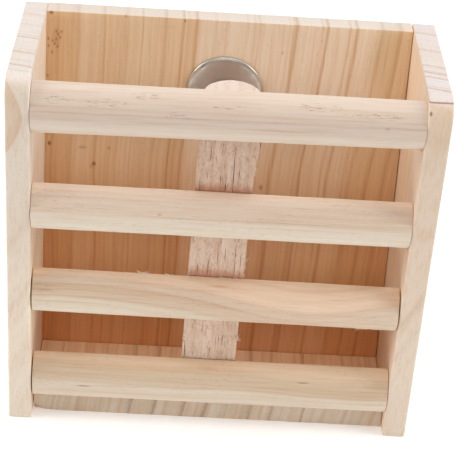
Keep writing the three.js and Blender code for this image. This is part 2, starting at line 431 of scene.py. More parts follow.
# ---- pine ----
LATEWOOD = (0.78, 0.60, 0.47)
FINE_LATEWOOD = (0.88, 0.76, 0.66)
PATCH_TINT = (0.80, 0.66, 0.52)
BAND_TINT = (0.88, 0.77, 0.66)
FIBRE_TINT = (0.86, 0.73, 0.60)
GRIT_TINT = (0.86, 0.76, 0.66)
TICK = (0.50, 0.36, 0.29)
SPLIT = (0.40, 0.29, 0.24)
TORN_TINT = (0.76, 0.65, 0.57)
BLOTCH_TINT = (0.88, 0.78, 0.74)
KNOT = (0.40, 0.24, 0.14)
END_GRAIN = (0.93, 0.97, 1.05)
# Painted highlight on the rounded arrises.
ARRIS_PAINTED_HIGHLIGHT = (1.07, 0.99, 0.92)
LINES_IN_A_RAMP = 10
LEAST_RAMP_STEP = 0.05
# Added before the fine rings are counted, so that no place is negative.
RINGS_OFFSET = 500.0


def line_stops(lines, span):
    """Ramp stops from (place, strength, soft width, sharp width) of each dark line."""
    stops = [(span[0], 0.0)]
    for place, strength, soft, sharp in lines:
        before = max(place - soft, stops[-1][0] + LEAST_RAMP_STEP)
        peak = max(place, before + LEAST_RAMP_STEP)
        stops += [(before, 0.0), (peak, strength), (place + sharp, 0.0)]
    return stops


def shares_of(s, place, centre, radii):
    """How far place is from centre, in units of the radius, along each direction."""
    return [s.math("DIVIDE", s.minus(p, c), r) for p, c, r in zip(place, centre, radii)]


def ellipsoid(s, place, centre, radii):
    """The distance from centre in units of the radii."""
    shares = shares_of(s, place, centre, radii)
    return s.vector("LENGTH", s.combine(*shares, *[0.0] * (3 - len(shares))))


def pointed_ellipsoid(s, place, centre, radii, power=1.35):
    """Like ellipsoid, with pointed ends."""
    total = 0.0
    for share in shares_of(s, place, centre, radii):
        total = s.math("ADD", s.math("POWER", s.math("ABSOLUTE", share), power), total)
    return s.math("POWER", total, 1 / power)


def pine(
    name, grain, across, through, origin, tones, lines=(), wander=1.5, bows=(), fan=(0.0, 0.0),
    fine=(3.1, 0.3), ticks=0.25, tick_spots=(), fissures=0.0, fuzz=0.0, marks=(), zones=(),
    stains=(), latewood=LATEWOOD, end_colour=None, end_tint=END_GRAIN, end_lines=1.0,
    line_fade=0.0, line_power=1.0, painted_face_shading=(), inner_painted_shade=False, bump=0.12, seed=0.0,
    mottle=0.05,
):
    """Pine as a solid: rings as planes across the board, wandering slowly along the grain.

    tones are (place, colour) across the board; lines are its dark latewood lines; bows bend the
    rings by (place along the grain, half width, height); fan spreads them from a place across, by
    a share per millimetre; fine is the spacing and strength of the fine rings; marks are (along,
    across, through, radii, strength, tint) of knots, specks and soft patches, some of them painted
    light and some painted shade, zones the same with a crisp edge; tick_spots are (along, across,
    half length, half width) of the only places with resin ticks; stains are (from, to, tint) along
    the grain, which on the back panel are painted shade, kept off the face towards through by
    inner_painted_shade; end_colour is (colour, share) of the sawn ends; painted_face_shading are
    tints of painted light and shade on the faces towards and away from through. Places are
    millimetres from the origin."""
    s = Shader(name)
    object_place = s.node("ShaderNodeTexCoord", {}).outputs["Object"]
    facing = s.node("ShaderNodeTexCoord", {}).outputs["Normal"]
    offset = s.vector("SUBTRACT", object_place, tuple(origin))
    place = [
        s.vector("DOT_PRODUCT", offset, tuple(np.array(axis) / MM))
        for axis in (grain, across, through)
    ]
    along, over, deep = place
    seeded = s.math("ADD", along, seed)
    in_wood = (seeded, over, deep)
    towards = s.vector("DOT_PRODUCT", facing, tuple(through))
    end_on = s.math("ABSOLUTE", s.vector("DOT_PRODUCT", facing, tuple(grain)))
    end_on = s.smooth(end_on, 0.6, 0.95)
    side_on = s.minus(1.0, end_on)

    # ring is the place across the board, bent as the rings are.
    ring = s.shaken(over, s.noise(in_wood, (0.011, 0.03, 0.03), detail=1.0), 2 * wander)
    for centre, width, height in bows:
        bow = s.math("DIVIDE", s.minus(along, centre), width)
        bell = s.math("EXPONENT", s.times(s.times(bow, bow), -1.0))
        ring = s.scaled_on(bell, height, ring)
    if fan[0]:
        ring = s.math("ADD", ring, s.times(s.times(along, -fan[0]), s.minus(over, fan[1])))
    ring = s.shaken(ring, s.noise(in_wood, (0.06, 0.35, 0.35)), 0.9)

    # The wood's colour from its tones, soft patches and bands, then stains ramped in along the
    # grain; on the back panel these are painted shade, kept to its inner face.
    span = (tones[0][0], tones[-1][0])
    colour = s.ramp(ring, tones, span)
    patch = s.noise(in_wood, (0.02, 0.07, 0.07))
    colour = s.tint(colour, s.smooth(patch, 0.35, 0.75, 0.0, 2.2 * mottle), PATCH_TINT)
    band = s.noise((seeded, ring, 0.0), (0.006, 0.33, 0.0))
    colour = s.tint(colour, s.smooth(band, 0.40, 0.72, 0.0, 5.0 * mottle), BAND_TINT)
    for start, end, tint in stains:
        reach = s.smooth(along, start, end)
        if inner_painted_shade:
            reach = s.times(reach, s.smooth(towards, 0.6, 0.2))
        colour = s.tint(colour, reach, tint)

    fibre = s.noise(in_wood, (0.035, 1.15, 1.15), detail=3.0, roughness=0.6)
    grit = s.noise(in_wood, (0.35, 3.4, 3.4), roughness=0.6)
    for *centre, radii, strength, tint in zones:
        away = s.shaken(pointed_ellipsoid(s, place, centre, radii), fibre, 0.12)
        inside = s.times(s.smooth(away, 1.03, 0.94), s.smooth(away, 0.3, 1.0, 0.62, 1.0))
        colour = s.tint(colour, s.times(inside, strength), tint)

    # Fine rings: each darkens slowly and ends sharply.
    spacing, fine_strength = fine
    step = s.math("FRACT", s.math("DIVIDE", s.math("ADD", ring, RINGS_OFFSET), spacing))
    fade = s.noise((seeded, ring, deep), (0.006, 0.11, 0.0))
    saw = s.times(s.math("POWER", step, 4.0), s.smooth(fade, 0.42, 0.68))
    colour = s.tint(colour, s.math("MULTIPLY", saw, fine_strength, clamp=True), FINE_LATEWOOD)

    # Painted light and shade: the faces towards and away from through get their own tints.
    for side, tint in zip((1, -1), painted_face_shading):
        colour = s.tint(colour, s.smooth(towards, 0.75 * side, 0.95 * side), tint)
    if end_colour:
        colour = s.mix(s.times(end_on, end_colour[1]), colour, end_colour[0])

    # Latewood lines, a ramp for each ten of them. They also stand up a little.
    height = s.times(saw, 0.25)
    ordered = sorted(lines)
    for first in range(0, len(ordered), LINES_IN_A_RAMP):
        line = s.ramp(ring, line_stops(ordered[first:first + LINES_IN_A_RAMP], span), span)
        streak = s.smooth(fibre, 0.25, 0.6, 0.62, 1.0)
        if line_fade:
            streak = s.times(streak, s.smooth(fade, 0.40, 0.62, 1.0 - line_fade, 1.0))
        if line_power != 1.0:
            line = s.math("POWER", line, line_power)
        on_ends = s.scaled_on(end_on, end_lines - 1.0, 1.0)
        line = s.math("MULTIPLY", s.times(line, streak), on_ends, clamp=True)
        colour = s.tint(colour, line, latewood)
        height = s.scaled_on(line, 0.4, height)

    colour = s.tint(colour, s.smooth(fibre, 0.46, 0.74, 0.0, 0.42), FIBRE_TINT)
    colour = s.tint(colour, s.smooth(grit, 0.50, 0.78, 0.0, 0.28), GRIT_TINT)

    if ticks:
        dash = s.noise(in_wood, (0.34, 3.2, 3.2), detail=1.0)
        if tick_spots:
            away = [ellipsoid(s, (along, over), spot[:2], spot[2:]) for spot in tick_spots]
            nearest = away[0]
            for other in away[1:]:
                nearest = s.math("MINIMUM", nearest, other)
            where = s.smooth(nearest, 1.2, 0.5)
            dash = s.smooth(dash, 0.59, 0.67)
        else:
            where = s.smooth(s.noise(in_wood, (0.03, 0.12, 0.12), detail=1.0), 0.40, 0.58)
            dash = s.smooth(dash, 0.64, 0.72)
        dash = s.times(s.times(dash, where), s.times(side_on, ticks))
        colour = s.tint(colour, dash, TICK)
        height = s.scaled_on(dash, -0.8, height)

    if fissures:
        split = s.noise(
            in_wood, (0.045, 1.1, 0.4), detail=3.0, roughness=0.62, distortion=0.25
        )
        split = s.times(s.smooth(split, 0.63, 0.68), s.times(side_on, fissures))
        colour = s.tint(colour, split, SPLIT)
        height = s.scaled_on(split, -2.0, height)

    if fuzz:
        torn = s.noise(in_wood, (0.25, 0.6, 0.6), detail=3.0, roughness=0.66, distortion=1.2)
        blotch = s.noise(in_wood, (0.10, 0.16, 0.16), detail=3.0, roughness=0.6)
        torn_shade = s.times(s.smooth(torn, 0.48, 0.70), s.times(side_on, fuzz))
        colour = s.tint(colour, torn_shade, TORN_TINT)
        colour = s.tint(colour, s.smooth(blotch, 0.45, 0.62, 0.0, 0.55 * fuzz), BLOTCH_TINT)
        height = s.scaled_on(torn, 1.6 * fuzz, height)

    for *centre, radii, strength, tint in marks:
        away = s.shaken(ellipsoid(s, place, centre, radii), grit, 1.1)
        colour = s.tint(colour, s.smooth(away, 1.15, 0.35, 0.0, strength), tint)

    colour = s.tint(colour, end_on, end_tint)
    # Painted highlight: convex arrises, found by their pointiness, are lightened.
    pointed = s.node("ShaderNodeNewGeometry", {}).outputs["Pointiness"]
    colour = s.tint(colour, s.smooth(pointed, 0.52, 0.60), ARRIS_PAINTED_HIGHLIGHT)

    s.feed(s.surface.inputs["Base Color"], colour)
    s.feed(s.surface.inputs["Roughness"], s.smooth(fibre, 0.3, 0.7, 0.56, 0.72))
    s.feed(s.surface.inputs["Specular IOR Level"], 0.35)
    height = s.scaled_on(fibre, 0.7, height)
    height = s.scaled_on(grit, 0.35, height)
    s.bump(height, bump * MM, 0.8)
    return s.material


def surface_marks(depth, marks):
    """Marks on a face from (along, across, half length, half width, strength, tint), which reach
    depth into the wood."""
    return [
        (along, across, 0, (length, width, depth), strength, tint)
        for along, across, length, width, strength, tint in marks
    ]


# ---- the box ----
left_low, left_high = corners_of("left_side_panel")
right_low, right_high = corners_of("right_side_panel")
back_low, back_high = corners_of("back_panel")
floor_low, floor_high = corners_of("bottom_board")
BACK_Y = left_high[1]
HEIGHT = left_high[2]
TIGHT_JOINT = 0.02 * MM
WEAR_RADII = (3.5 * MM, 6 * MM, 3.5 * MM)
WEAR_DEPTH = 1.6 * MM


def board(name, low, high, axes, corners, radii, layer, dents=()):
    """A board whose outline (u, v) and length s lie on the given axes, with its outline's corners
    and all its arrises rounded. The first radius is also the arrises'."""
    order = np.argsort(axes)
    ends = (low[axes[2]], high[axes[2]])
    outline = rounded_outline(corners, radii, radii[0], BOARD_STEP)
    return rough_bar(
        name, outline, ends, BOARD_STEP, radii[0], lambda local: local[:, order], 2 * BOARD_STEP,
        [layer], dents,
    )


def side_panel(name, low, high, seed):
    front_top = FRONT_FOOT_Y - HEIGHT * math.tan(SLOPE)
    corners = [(FRONT_FOOT_Y, 0), (BACK_Y, 0), (BACK_Y, HEIGHT), (front_top, HEIGHT)]
    radii = [BOARD_EDGE, BOARD_EDGE, BOARD_EDGE, CORNER_RADIUS]
    layer = (0.07 * MM, (14 * MM, 16 * MM, 60 * MM), seed)
    return board(name, low, high, (1, 2, 0), corners, radii, layer)


def flat_board(name, low, high, axes, seed, dents=()):
    """A board between the side panels; its arrises are sharper than the side panels'."""
    u, v, _ = axes
    corners = [(low[u], low[v]), (high[u], low[v]), (high[u], high[v]), (low[u], high[v])]
    layer = (0.06 * MM, (16 * MM, 16 * MM, 60 * MM), seed)
    return board(name, low, high, axes, corners, [INNER_EDGE] * 4, layer, dents)


PALE = (0.775, 0.68, 0.565)
CREAM = (0.79, 0.70, 0.585)
RIGHT_PALE = (0.73, 0.615, 0.50)
RIGHT_TAN = (0.73, 0.59, 0.45)
BACK_ORANGE = (0.77, 0.52, 0.295)
BACK_ORANGE_PALE = (0.81, 0.58, 0.36)
BACK_TAN = (0.825, 0.615, 0.405)
BACK_CREAM = (0.89, 0.71, 0.53)
# Painted shade that darkens the side panels' outer faces.
OUTER_PAINTED_SHADE = (0.87, 0.83, 0.77)
FLOOR_TAN = (0.88, 0.635, 0.415)
FLOOR_PALE = (0.91, 0.67, 0.445)
SPECK = (0.62, 0.48, 0.36)
RESIN = (0.66, 0.6, 0.4)

# Places across a side panel are counted forwards from its back edge.
left_pine = pine(
    "pine_left_side", UP, -BACK - 0.25 * RIGHT, RIGHT, (left_low[0], BACK_Y, 0),
    tones=[(-8, CREAM), (60, PALE), (80, CREAM), (100, CREAM)],
    lines=[
        (15, 0.2, 3, 0.8), (27, 0.1, 2, 0.6), (38.5, 0.3, 1.2, 0.4), (41, 0.5, 1.2, 0.4),
        (54, 0.2, 1.0, 0.4), (57.5, 0.4, 2.0, 0.5), (66, 0.1, 1.6, 1.2), (71, 0.45, 1.6, 0.5),
        (76, 0.15, 1.5, 0.6), (84, 0.1, 1.2, 0.5),
    ],
    zones=[(158.8, 85.5, -1.0, (18.5, 17, 8.8), 0.8, (0.89, 0.74, 0.615))],
    marks=[
        # Painted light on the inner face: its upper front part whiter, and a patch lower down
        # lighter.
        (170, 80, 10, (60, 34, 1.2), 0.9, (1.03, 1.08, 1.14)),
        (64, 48, 10, (24, 34, 3), 0.9, (1.12, 1.20, 1.13)),
    ],
    stains=[(40, 140, (0.89, 0.875, 0.885))],
    # Painted light on the inner face and painted shade on the outer face.
    end_tint=(1.05, 1.10, 1.21), painted_face_shading=[(1.13, 1.11, 1.08), OUTER_PAINTED_SHADE],
    wander=0.9, seed=11.0, fine=(2.2, 0.15), end_lines=2.1,
)
right_pine = pine(
    "pine_right_side", UP, -BACK - 0.30 * RIGHT, RIGHT, (right_high[0], BACK_Y, 0),
    tones=[(-8, RIGHT_PALE), (40, RIGHT_TAN), (62, RIGHT_PALE), (100, RIGHT_PALE)],
    lines=[
        (14, 0.2, 2.4, 0.6), (33, 0.18, 2, 0.6), (50, 0.36, 1.2, 0.4), (52, 0.12, 0.8, 0.4),
        (55.5, 0.2, 0.8, 0.4), (57.5, 0.4, 1.6, 0.4), (62.5, 0.3, 1.6, 0.5),
        (72, 0.16, 1.0, 0.5), (74.5, 0.4, 1.5, 0.4), (86.5, 0.12, 2.0, 0.8),
    ],
    marks=[
        (171.8, 84, -9.3, (1.1, 30, 0.7), 0.9, (0.35, 0.25, 0.2)),
        (175.5, 84, -5, (0.3, 30, 30), 0.95, (0.50, 0.34, 0.27)),
        (166, 84, -5, (13, 30, 30), 0.75, (0.965, 0.91, 0.86)),
        # Painted light: the upper front of the inner face is whiter.
        (170, 80, -10, (60, 30, 1.2), 0.8, (1.0, 1.05, 1.12)),
        (113, 84, -5, (4.5, 30, 5.0), 0.3, (0.90, 0.72, 0.60)),
    ],
    stains=[(30, 130, (0.94, 0.905, 0.875))],
    # Painted shade on the outer face and painted light on the inner face.
    end_tint=(1.03, 1.16, 1.43), painted_face_shading=[OUTER_PAINTED_SHADE, (1.15, 1.12, 1.07)],
    wander=0.7, seed=57.0, fine=(1.9, 0.15), end_lines=3.2, mottle=0.025,
)
# Small specks near the top left of the back panel, (along, across) as its marks are.
BACK_SPECKS = [
    (-9.3, -75.7), (-10.7, -74.9), (-12.2, -74.0), (-13.1, -75.8), (-13.9, -77.3),
    (-9.5, -73.4), (-15.2, -76.3), (-16.6, -75.1), (-16.3, -79.0), (-13.0, -79.1),
    (-19.4, -77.4), (-30.5, -79.2),
]
# Places along the back panel's grain are below its top.
back_pine = pine(
    "pine_back", UP, RIGHT + 0.05 * BACK, BACK, (0, back_low[1], back_high[2]),
    tones=[
        (-92, BACK_ORANGE), (-69, BACK_ORANGE), (-63.5, BACK_TAN), (-52, BACK_ORANGE_PALE),
        (-38, BACK_TAN), (-20, BACK_ORANGE_PALE), (-14, BACK_ORANGE_PALE), (-11, BACK_CREAM),
        (20, BACK_CREAM), (45, BACK_CREAM), (62, BACK_CREAM), (68, BACK_TAN),
        (71, BACK_ORANGE_PALE), (100, BACK_ORANGE_PALE),
    ],
    lines=[
        (-75, 0.35, 1.2, 0.8), (-65.7, 0.42, 3.5, 0.9), (-54.4, 0.55, 1.6, 0.6),
        (-44.3, 0.4, 1.8, 0.6), (-38, 0.5, 0.7, 0.6), (-27.5, 0.55, 2.2, 0.8),
        (-20, 0.8, 1.0, 0.6), (-17.4, 0.5, 0.8, 0.5), (-14, 0.85, 1.6, 0.5),
        (-6, 0.3, 1.5, 0.8), (7.5, 0.35, 1.2, 0.8), (11, 0.5, 1.2, 0.6), (13, 0.6, 0.9, 0.6),
        (26.3, 0.35, 1.0, 0.8), (29.7, 1.0, 3.0, 0.7), (40.5, 0.5, 1.2, 0.8),
        (43, 1.0, 2.0, 0.6), (52.8, 0.55, 1.2, 0.8), (55.8, 0.9, 1.6, 0.7),
        (66.8, 0.6, 1.4, 0.7), (75, 0.6, 2.4, 0.8), (83, 0.7, 2.2, 0.8),
    ],
    marks=[
        *surface_marks(3, [(g, a, 0.95, 0.6, 0.8, SPECK) for g, a in BACK_SPECKS]),
        *surface_marks(8, [
            (-76, 46, 38, 62, 0.85, (0.91, 0.86, 0.77)),
            (-132, 50, 24, 50, 0.8, (0.90, 0.87, 0.73)),
            (-14, 70, 20, 10, 0.7, (0.89, 0.90, 0.86)),
        ]),
        *surface_marks(3, [
            (-63.5, -78, 1.3, 0.9, 0.9, KNOT),
            (-72.5, -57.7, 1.3, 1.1, 0.85, KNOT),
            (-73.8, -58.9, 1.6, 1.5, 0.35, (0.7, 0.6, 0.42)),
            (-64.6, -63, 1.0, 2.4, 0.6, RESIN),
            (-64.3, -51.2, 1.2, 1.0, 0.5, RESIN),
            (-12, -75.4, 6.0, 2.4, 0.4, (0.74, 0.64, 0.50)),
            (-0.8, -78, 0.9, 1.0, 0.9, KNOT),
            (-0.6, -45.6, 0.9, 0.9, 0.6, (0.75, 0.5, 0.25)),
            (-1.2, -19.8, 0.8, 0.6, 0.8, (0.6, 0.35, 0.2)),
            (-13.5, 23.5, 1.4, 0.6, 0.5, (0.7, 0.5, 0.38)),
            (-80, 18.5, 1.6, 1.0, 0.7, (0.62, 0.38, 0.26)),
        ]),
    ],
    # On the inner face the stains are painted shade: darker from 46 to 108 mm below the top, eased
    # lighter again from 122 mm down.
    stains=[(-46, -108, (0.86, 0.66, 0.49)), (-122, -150, (1.12, 1.10, 1.12))],
    inner_painted_shade=True, end_colour=((0.685, 0.622, 0.567), 0.85), end_tint=(1.0, 1.0, 1.0),
    bows=[(-72, 28, 2.4)], fan=(0.00058, -80), wander=0.7, seed=3.0, fine=(2.3, 0.6),
    latewood=(0.78, 0.61, 0.48), end_lines=0.9, ticks=0.35, mottle=0.09,
)
floor_pine = pine(
    "pine_bottom", BACK, RIGHT - 0.20 * UP, UP, (0, floor_low[1], 0),
    tones=[(-90, FLOOR_TAN), (-8, FLOOR_PALE), (20, FLOOR_PALE), (90, FLOOR_TAN)],
    lines=[
        (-71, 0.7, 2, 0.6), (-60, 0.8, 2, 0.6), (-50, 0.7, 1.6, 0.6), (-46, 0.6, 1, 0.6),
        (-36, 1.0, 4.5, 0.6), (-24.8, 1.0, 5.0, 0.6), (-18.5, 0.6, 2.5, 0.5),
        (-11.5, 1.0, 4, 0.6), (-2, 0.9, 5, 0.6), (7, 0.7, 3.5, 0.6), (18.7, 0.9, 6, 0.6),
        (28.4, 0.8, 4, 0.6), (43, 0.9, 2.2, 0.6), (61.7, 0.6, 3, 0.6), (70, 0.3, 3, 0.6),
    ],
    end_tint=(0.80, 0.935, 1.15), latewood=(0.52, 0.41, 0.34), line_power=2.4,
    wander=1.3, seed=23.0, fine=(2.7, 0.5), ticks=0.5, mottle=0.16,
)

left_side = side_panel("left_side_wood", left_low, left_high, 5)
right_side = side_panel("right_side_wood", right_low, right_high, 6)
# The back panel meets the left side tightly; a thin gap stays at the right.
back_corner = np.array([left_high[0] - TIGHT_JOINT, back_low[1], back_low[2]])
back_board = flat_board("back_panel_wood", back_corner, back_high, (0, 2, 1), 7)
worn_corner = (floor_low, WEAR_RADII, WEAR_DEPTH)
floor_board = flat_board(
    "bottom_board_wood", floor_low, floor_high, (0, 1, 2), 8, [worn_corner]
)


# ---- the half-round slats ----
SAWN_TILT = math.radians(36)
SLAT_STEP = 1.5 * MM
SLAT_DEPTH = 20


def between(start, end, share):
    return start + (end - start) * share


class SlatShape:
    """Where a CAD slat lies in the rack frame: its flat and round sides, its ends in x, and its
    middle and half height at each end."""

    def __init__(self, node):
        x, inward, up = to_rack(node_points(node)).T
        self.flat, self.front = inward.max(), inward.min()
        self.left, self.right = x.min(), x.max()
        ends = [up[x - self.left < 1 * MM], up[self.right - x < 1 * MM]]
        self.centres = [(end.min() + end.max()) / 2 for end in ends]
        self.halves = [(end.max() - end.min()) / 2 for end in ends]

    def share(self, x):
        return (x - self.left) / (self.right - self.left)


def slat(node, trim, widen, seed):
    """A half-round bar between the side panels. At its left and right ends, trim shortens it, in
    millimetres, and widen scales its height."""
    shape = SlatShape(node)
    depth, half = shape.flat - shape.front, sum(shape.halves) / 2
    outline = half_round_outline(depth, half, -1, SLAT_EDGE, 2 * MM)

    def place(local):
        inward, up, x = local.T
        share = shape.share(x)
        height = between(*shape.centres, share) + up * between(*widen, share)
        return from_rack(np.column_stack([x, shape.flat + inward, height]))

    ends = (shape.left + trim[0] * MM, shape.right - trim[1] * MM)
    long_waves = (0.10 * MM, (70 * MM, 9 * MM, 9 * MM), seed)
    short_waves = (0.035 * MM, (18 * MM, 3 * MM, 3 * MM), seed + 50)
    return rough_bar(
        node + "_wood", outline, ends, SLAT_STEP, SLAT_EDGE, place, 2 * SLAT_STEP,
        [long_waves, short_waves], end_edge=SLAT_END_EDGE,
    )


def slat_pine(node, tones, marks, **looks):
    """Pine with its grain along the slat and rings sawn aslant through it; places across them are
    millimetres from the middle of its flat side."""
    shape = SlatShape(node)
    middle = from_rack(np.array([[0, shape.flat, sum(shape.centres) / 2]]))[0]
    rise = (shape.centres[1] - shape.centres[0]) / (shape.right - shape.left)
    grain = RIGHT + rise * UPWARD
    upright = UPWARD - rise * RIGHT
    across = math.cos(SAWN_TILT) * upright + math.sin(SAWN_TILT) * INWARD
    through = math.cos(SAWN_TILT) * INWARD - math.sin(SAWN_TILT) * upright
    marks = surface_marks(SLAT_DEPTH, marks)
    return pine("pine_" + node, grain, across, through, middle, tones, marks=marks, **looks)


slats = {}
slat_materials = {}


def half_round(node, trim, widen, shape_seed, tones, marks, **looks):
    """Makes a slat and its pine; marks are as in surface_marks."""
    slats[node] = slat(node, trim, widen, shape_seed)
    slat_materials[node] = slat_pine(node, tones, marks, **looks)


half_round(
    "slat_top", trim=(-0.08, -0.17), widen=(1.04, 0.96), shape_seed=31,
    tones=[
        (-14, (0.69, 0.59, 0.49)), (-9.0, (0.68, 0.58, 0.485)), (-6.4, (0.64, 0.53, 0.445)),
        (-3.6, (0.625, 0.505, 0.425)), (-1.5, (0.655, 0.53, 0.44)),
        (2.5, (0.68, 0.555, 0.455)), (14, (0.72, 0.60, 0.505)),
    ],
    lines=[
        (-7.2, 0.1, 0.7, 0.5), (-5.2, 0.1, 0.8, 0.5), (-3.4, 0.34, 0.9, 0.5),
        (-1.0, 0.12, 1.2, 0.5), (2.5, 0.1, 1, 0.4), (5.5, 0.1, 1, 0.4),
    ],
    marks=[
        (-28, -6.0, 14, 0.5, 0.4, (0.80, 0.62, 0.48)),
        (20, -6.5, 20, 0.7, 0.5, (0.84, 0.66, 0.50)),
        (34, 3.5, 9, 0.35, 0.55, (0.84, 0.62, 0.55)),
        (43, 2.8, 6, 0.3, 0.55, (0.80, 0.58, 0.50)),
        (55, 1.5, 8, 0.35, 0.5, (0.84, 0.62, 0.55)),
        (67, 0.7, 5, 0.35, 0.7, (0.66, 0.46, 0.38)),
        (64, -3.8, 1.6, 0.7, 0.6, (0.62, 0.48, 0.42)),
    ],
    tick_spots=[
        (-69, 1.9, 7, 2.2), (-50, 0.8, 10, 2.0), (-33, 4.8, 7, 1.6), (-21, -2.8, 6, 1.8),
        (36, 3.4, 12, 1.8), (58, 1.0, 14, 1.6), (2, 1.5, 12, 1.0),
    ],
    ticks=0.75, wander=0.9, seed=101.0, fine=(2.3, 0.15), line_fade=0.8,
)
half_round(
    "slat_upper", trim=(-0.14, -0.14), widen=(1.0, 1.0), shape_seed=32,
    tones=[
        (-14, (0.73, 0.665, 0.56)), (-7.5, (0.725, 0.65, 0.54)), (-4.6, (0.705, 0.60, 0.49)),
        (-1.5, (0.70, 0.565, 0.45)), (4, (0.73, 0.59, 0.475)), (6.5, (0.82, 0.645, 0.51)),
        (14, (0.83, 0.65, 0.51)),
    ],
    lines=[
        (-5.6, 0.12, 0.8, 0.5), (-3.4, 0.35, 0.9, 0.5), (-2.3, 0.2, 0.6, 0.4),
        (0.4, 0.12, 1.0, 0.5), (3.2, 0.25, 1.2, 0.5), (5.8, 0.2, 1.2, 0.6),
    ],
    marks=[
        (-26, -2.4, 1.3, 0.7, 0.6, (0.55, 0.42, 0.33)),
        (30, -3.2, 30, 0.5, 0.4, (0.82, 0.66, 0.52)),
        # Painted shadow of the right side panel on the slat's upper right end.
        (76, 3.0, 14, 4.0, 0.45, (0.84, 0.76, 0.68)),
    ],
    ticks=0.4, wander=1.1, seed=202.0, fine=(2.0, 0.25), line_fade=0.7,
)
half_round(
    "slat_lower", trim=(0.3, 0.3), widen=(1.0, 1.0), shape_seed=33,
    tones=[
        (-20, (0.73, 0.66, 0.55)), (-7.2, (0.725, 0.645, 0.53)), (-4.6, (0.69, 0.58, 0.455)),
        (-2, (0.67, 0.535, 0.41)), (3, (0.69, 0.545, 0.42)), (6, (0.785, 0.605, 0.46)),
        (9, (0.80, 0.60, 0.44)), (26, (0.76, 0.59, 0.45)),
    ],
    lines=[
        (-6.6, 0.2, 1.2, 0.5), (-4.0, 0.45, 1.6, 0.5), (-1.4, 0.3, 0.9, 0.5),
        (0.9, 0.5, 1.2, 0.5), (4.4, 0.3, 1.8, 0.6), (6.6, 0.2, 1.2, 0.6),
        (10.2, 0.3, 2.0, 0.6), (14.8, 0.25, 2.4, 0.8), (18.5, 0.2, 1.6, 0.8),
    ],
    marks=[
        (1, 4.6, 6, 0.7, 0.6, (0.8, 0.5, 0.35)),
        (-74, -1.0, 6, 0.7, 0.6, (0.75, 0.52, 0.38)),
        (-72, 1.0, 7, 0.5, 0.5, (0.70, 0.50, 0.38)),
        # Painted shadow of the right side panel on the slat's upper right end.
        (78, 2.5, 12, 5.5, 0.5, (0.84, 0.74, 0.63)),
    ],
    zones=[(-80, 6.5, 0, (13, 4, SLAT_DEPTH), 0.35, (0.95, 0.80, 0.62))],
    bows=[(40, 42, 9.5), (-58, 24, -1.2)],
    ticks=0.35, wander=1.6, seed=303.0, fine=(2.1, 0.18), line_fade=0.7, mottle=0.09,
)
half_round(
    "slat_bottom", trim=(0.3, -0.1), widen=(1.0, 1.0), shape_seed=34,
    tones=[
        (-14, (0.735, 0.645, 0.54)), (-5.2, (0.72, 0.63, 0.52)), (-3.2, (0.655, 0.53, 0.40)),
        (-1, (0.62, 0.485, 0.35)), (3, (0.66, 0.51, 0.365)), (6, (0.775, 0.59, 0.42)),
        (14, (0.80, 0.59, 0.41)),
    ],
    lines=[
        (-6.2, 0.15, 1.0, 0.5), (-3.4, 0.4, 1.0, 0.5), (-1.8, 0.15, 1.2, 0.5),
        (0.4, 0.3, 1.4, 0.6), (2.6, 0.2, 1.6, 0.6), (5.6, 0.35, 1.8, 0.6),
    ],
    marks=[
        (41.5, 0.9, 4.0, 0.5, 0.9, (0.5, 0.34, 0.22)),
        (-56.5, -5.6, 4.5, 0.5, 0.8, (0.5, 0.34, 0.22)),
        (-2, 5.2, 6, 1.0, 0.5, (0.95, 0.72, 0.48)),
        # Painted shadow of the right side panel on the slat's right end.
        (74, 0.5, 7, 2.0, 0.4, (0.85, 0.72, 0.58)),
    ],
    bows=[(62, 30, 1.6), (-20, 26, 0.9)],
    ticks=0.35, wander=1.4, seed=404.0, fine=(2.4, 0.25), line_fade=0.6, mottle=0.08,
)


# ---- the centre strut ----
strut_points = to_rack(node_points("centre_strut"))
STRUT_LOW, STRUT_HIGH = strut_points[:, 2].min(), strut_points[:, 2].max()
STRUT_FLAT = strut_points[:, 1].min()
STRUT_RADIUS = strut_points[:, 1].max() - STRUT_FLAT
FLARE = 1.6 * MM
FLARE_DROP = 22 * MM
FLARE_REACH = 9 * MM
CRACK = (0.34, 0.24, 0.20)
# Drying cracks of the strut's flat face: (up from its top, across, half length).
STRUT_CRACKS = [
    (-36, 2.9, 14), (-29, -7.1, 4.5), (-38, 5.2, 3.5), (-41, -2.5, 3.0), (-82, -1.3, 5),
    (-81, 1.8, 4.6), (-79, 6.2, 6.5), (-84, 8.6, 4), (-128, 3.2, 4),
]


def strut_x(low, high):
    part = strut_points[(strut_points[:, 2] >= low) & (strut_points[:, 2] <= high)]
    return (part[:, 0].min() + part[:, 0].max()) / 2


strut_foot_x = strut_x(STRUT_LOW, STRUT_LOW + 1 * MM)
strut_top_x = strut_x(STRUT_HIGH - 1 * MM, STRUT_HIGH)


def place_strut(local):
    """Puts (inward, sideways, up) on the leaning strut, whose right edge flares below the top
    slat."""
    inward, sideways, up = local.T
    share = (up - STRUT_LOW) / (STRUT_HIGH - STRUT_LOW)
    flare = FLARE * np.exp(-(((STRUT_HIGH - up - FLARE_DROP) / FLARE_REACH) ** 2))
    sideways = sideways + flare * np.clip(sideways / STRUT_RADIUS, 0, 1) ** 3
    x = between(strut_foot_x, strut_top_x, share) + sideways
    return from_rack(np.column_stack([x, STRUT_FLAT + inward, up]))


strut_outline = half_round_outline(STRUT_RADIUS, STRUT_RADIUS, 1, STRUT_EDGE, 0.6 * MM, 29)
strut_layers = [
    (0.10 * MM, (3 * MM, 60 * MM, 40 * MM), 61), (0.05 * MM, (1.2 * MM, 9 * MM, 9 * MM), 62),
]
strut = rough_bar(
    "centre_strut_wood", strut_outline, (STRUT_LOW, STRUT_HIGH), 1.4 * MM, STRUT_EDGE,
    place_strut, 2 * MM, strut_layers,
)
strut_middle = from_rack(np.array([[strut_top_x, STRUT_FLAT, STRUT_HIGH]]))[0]
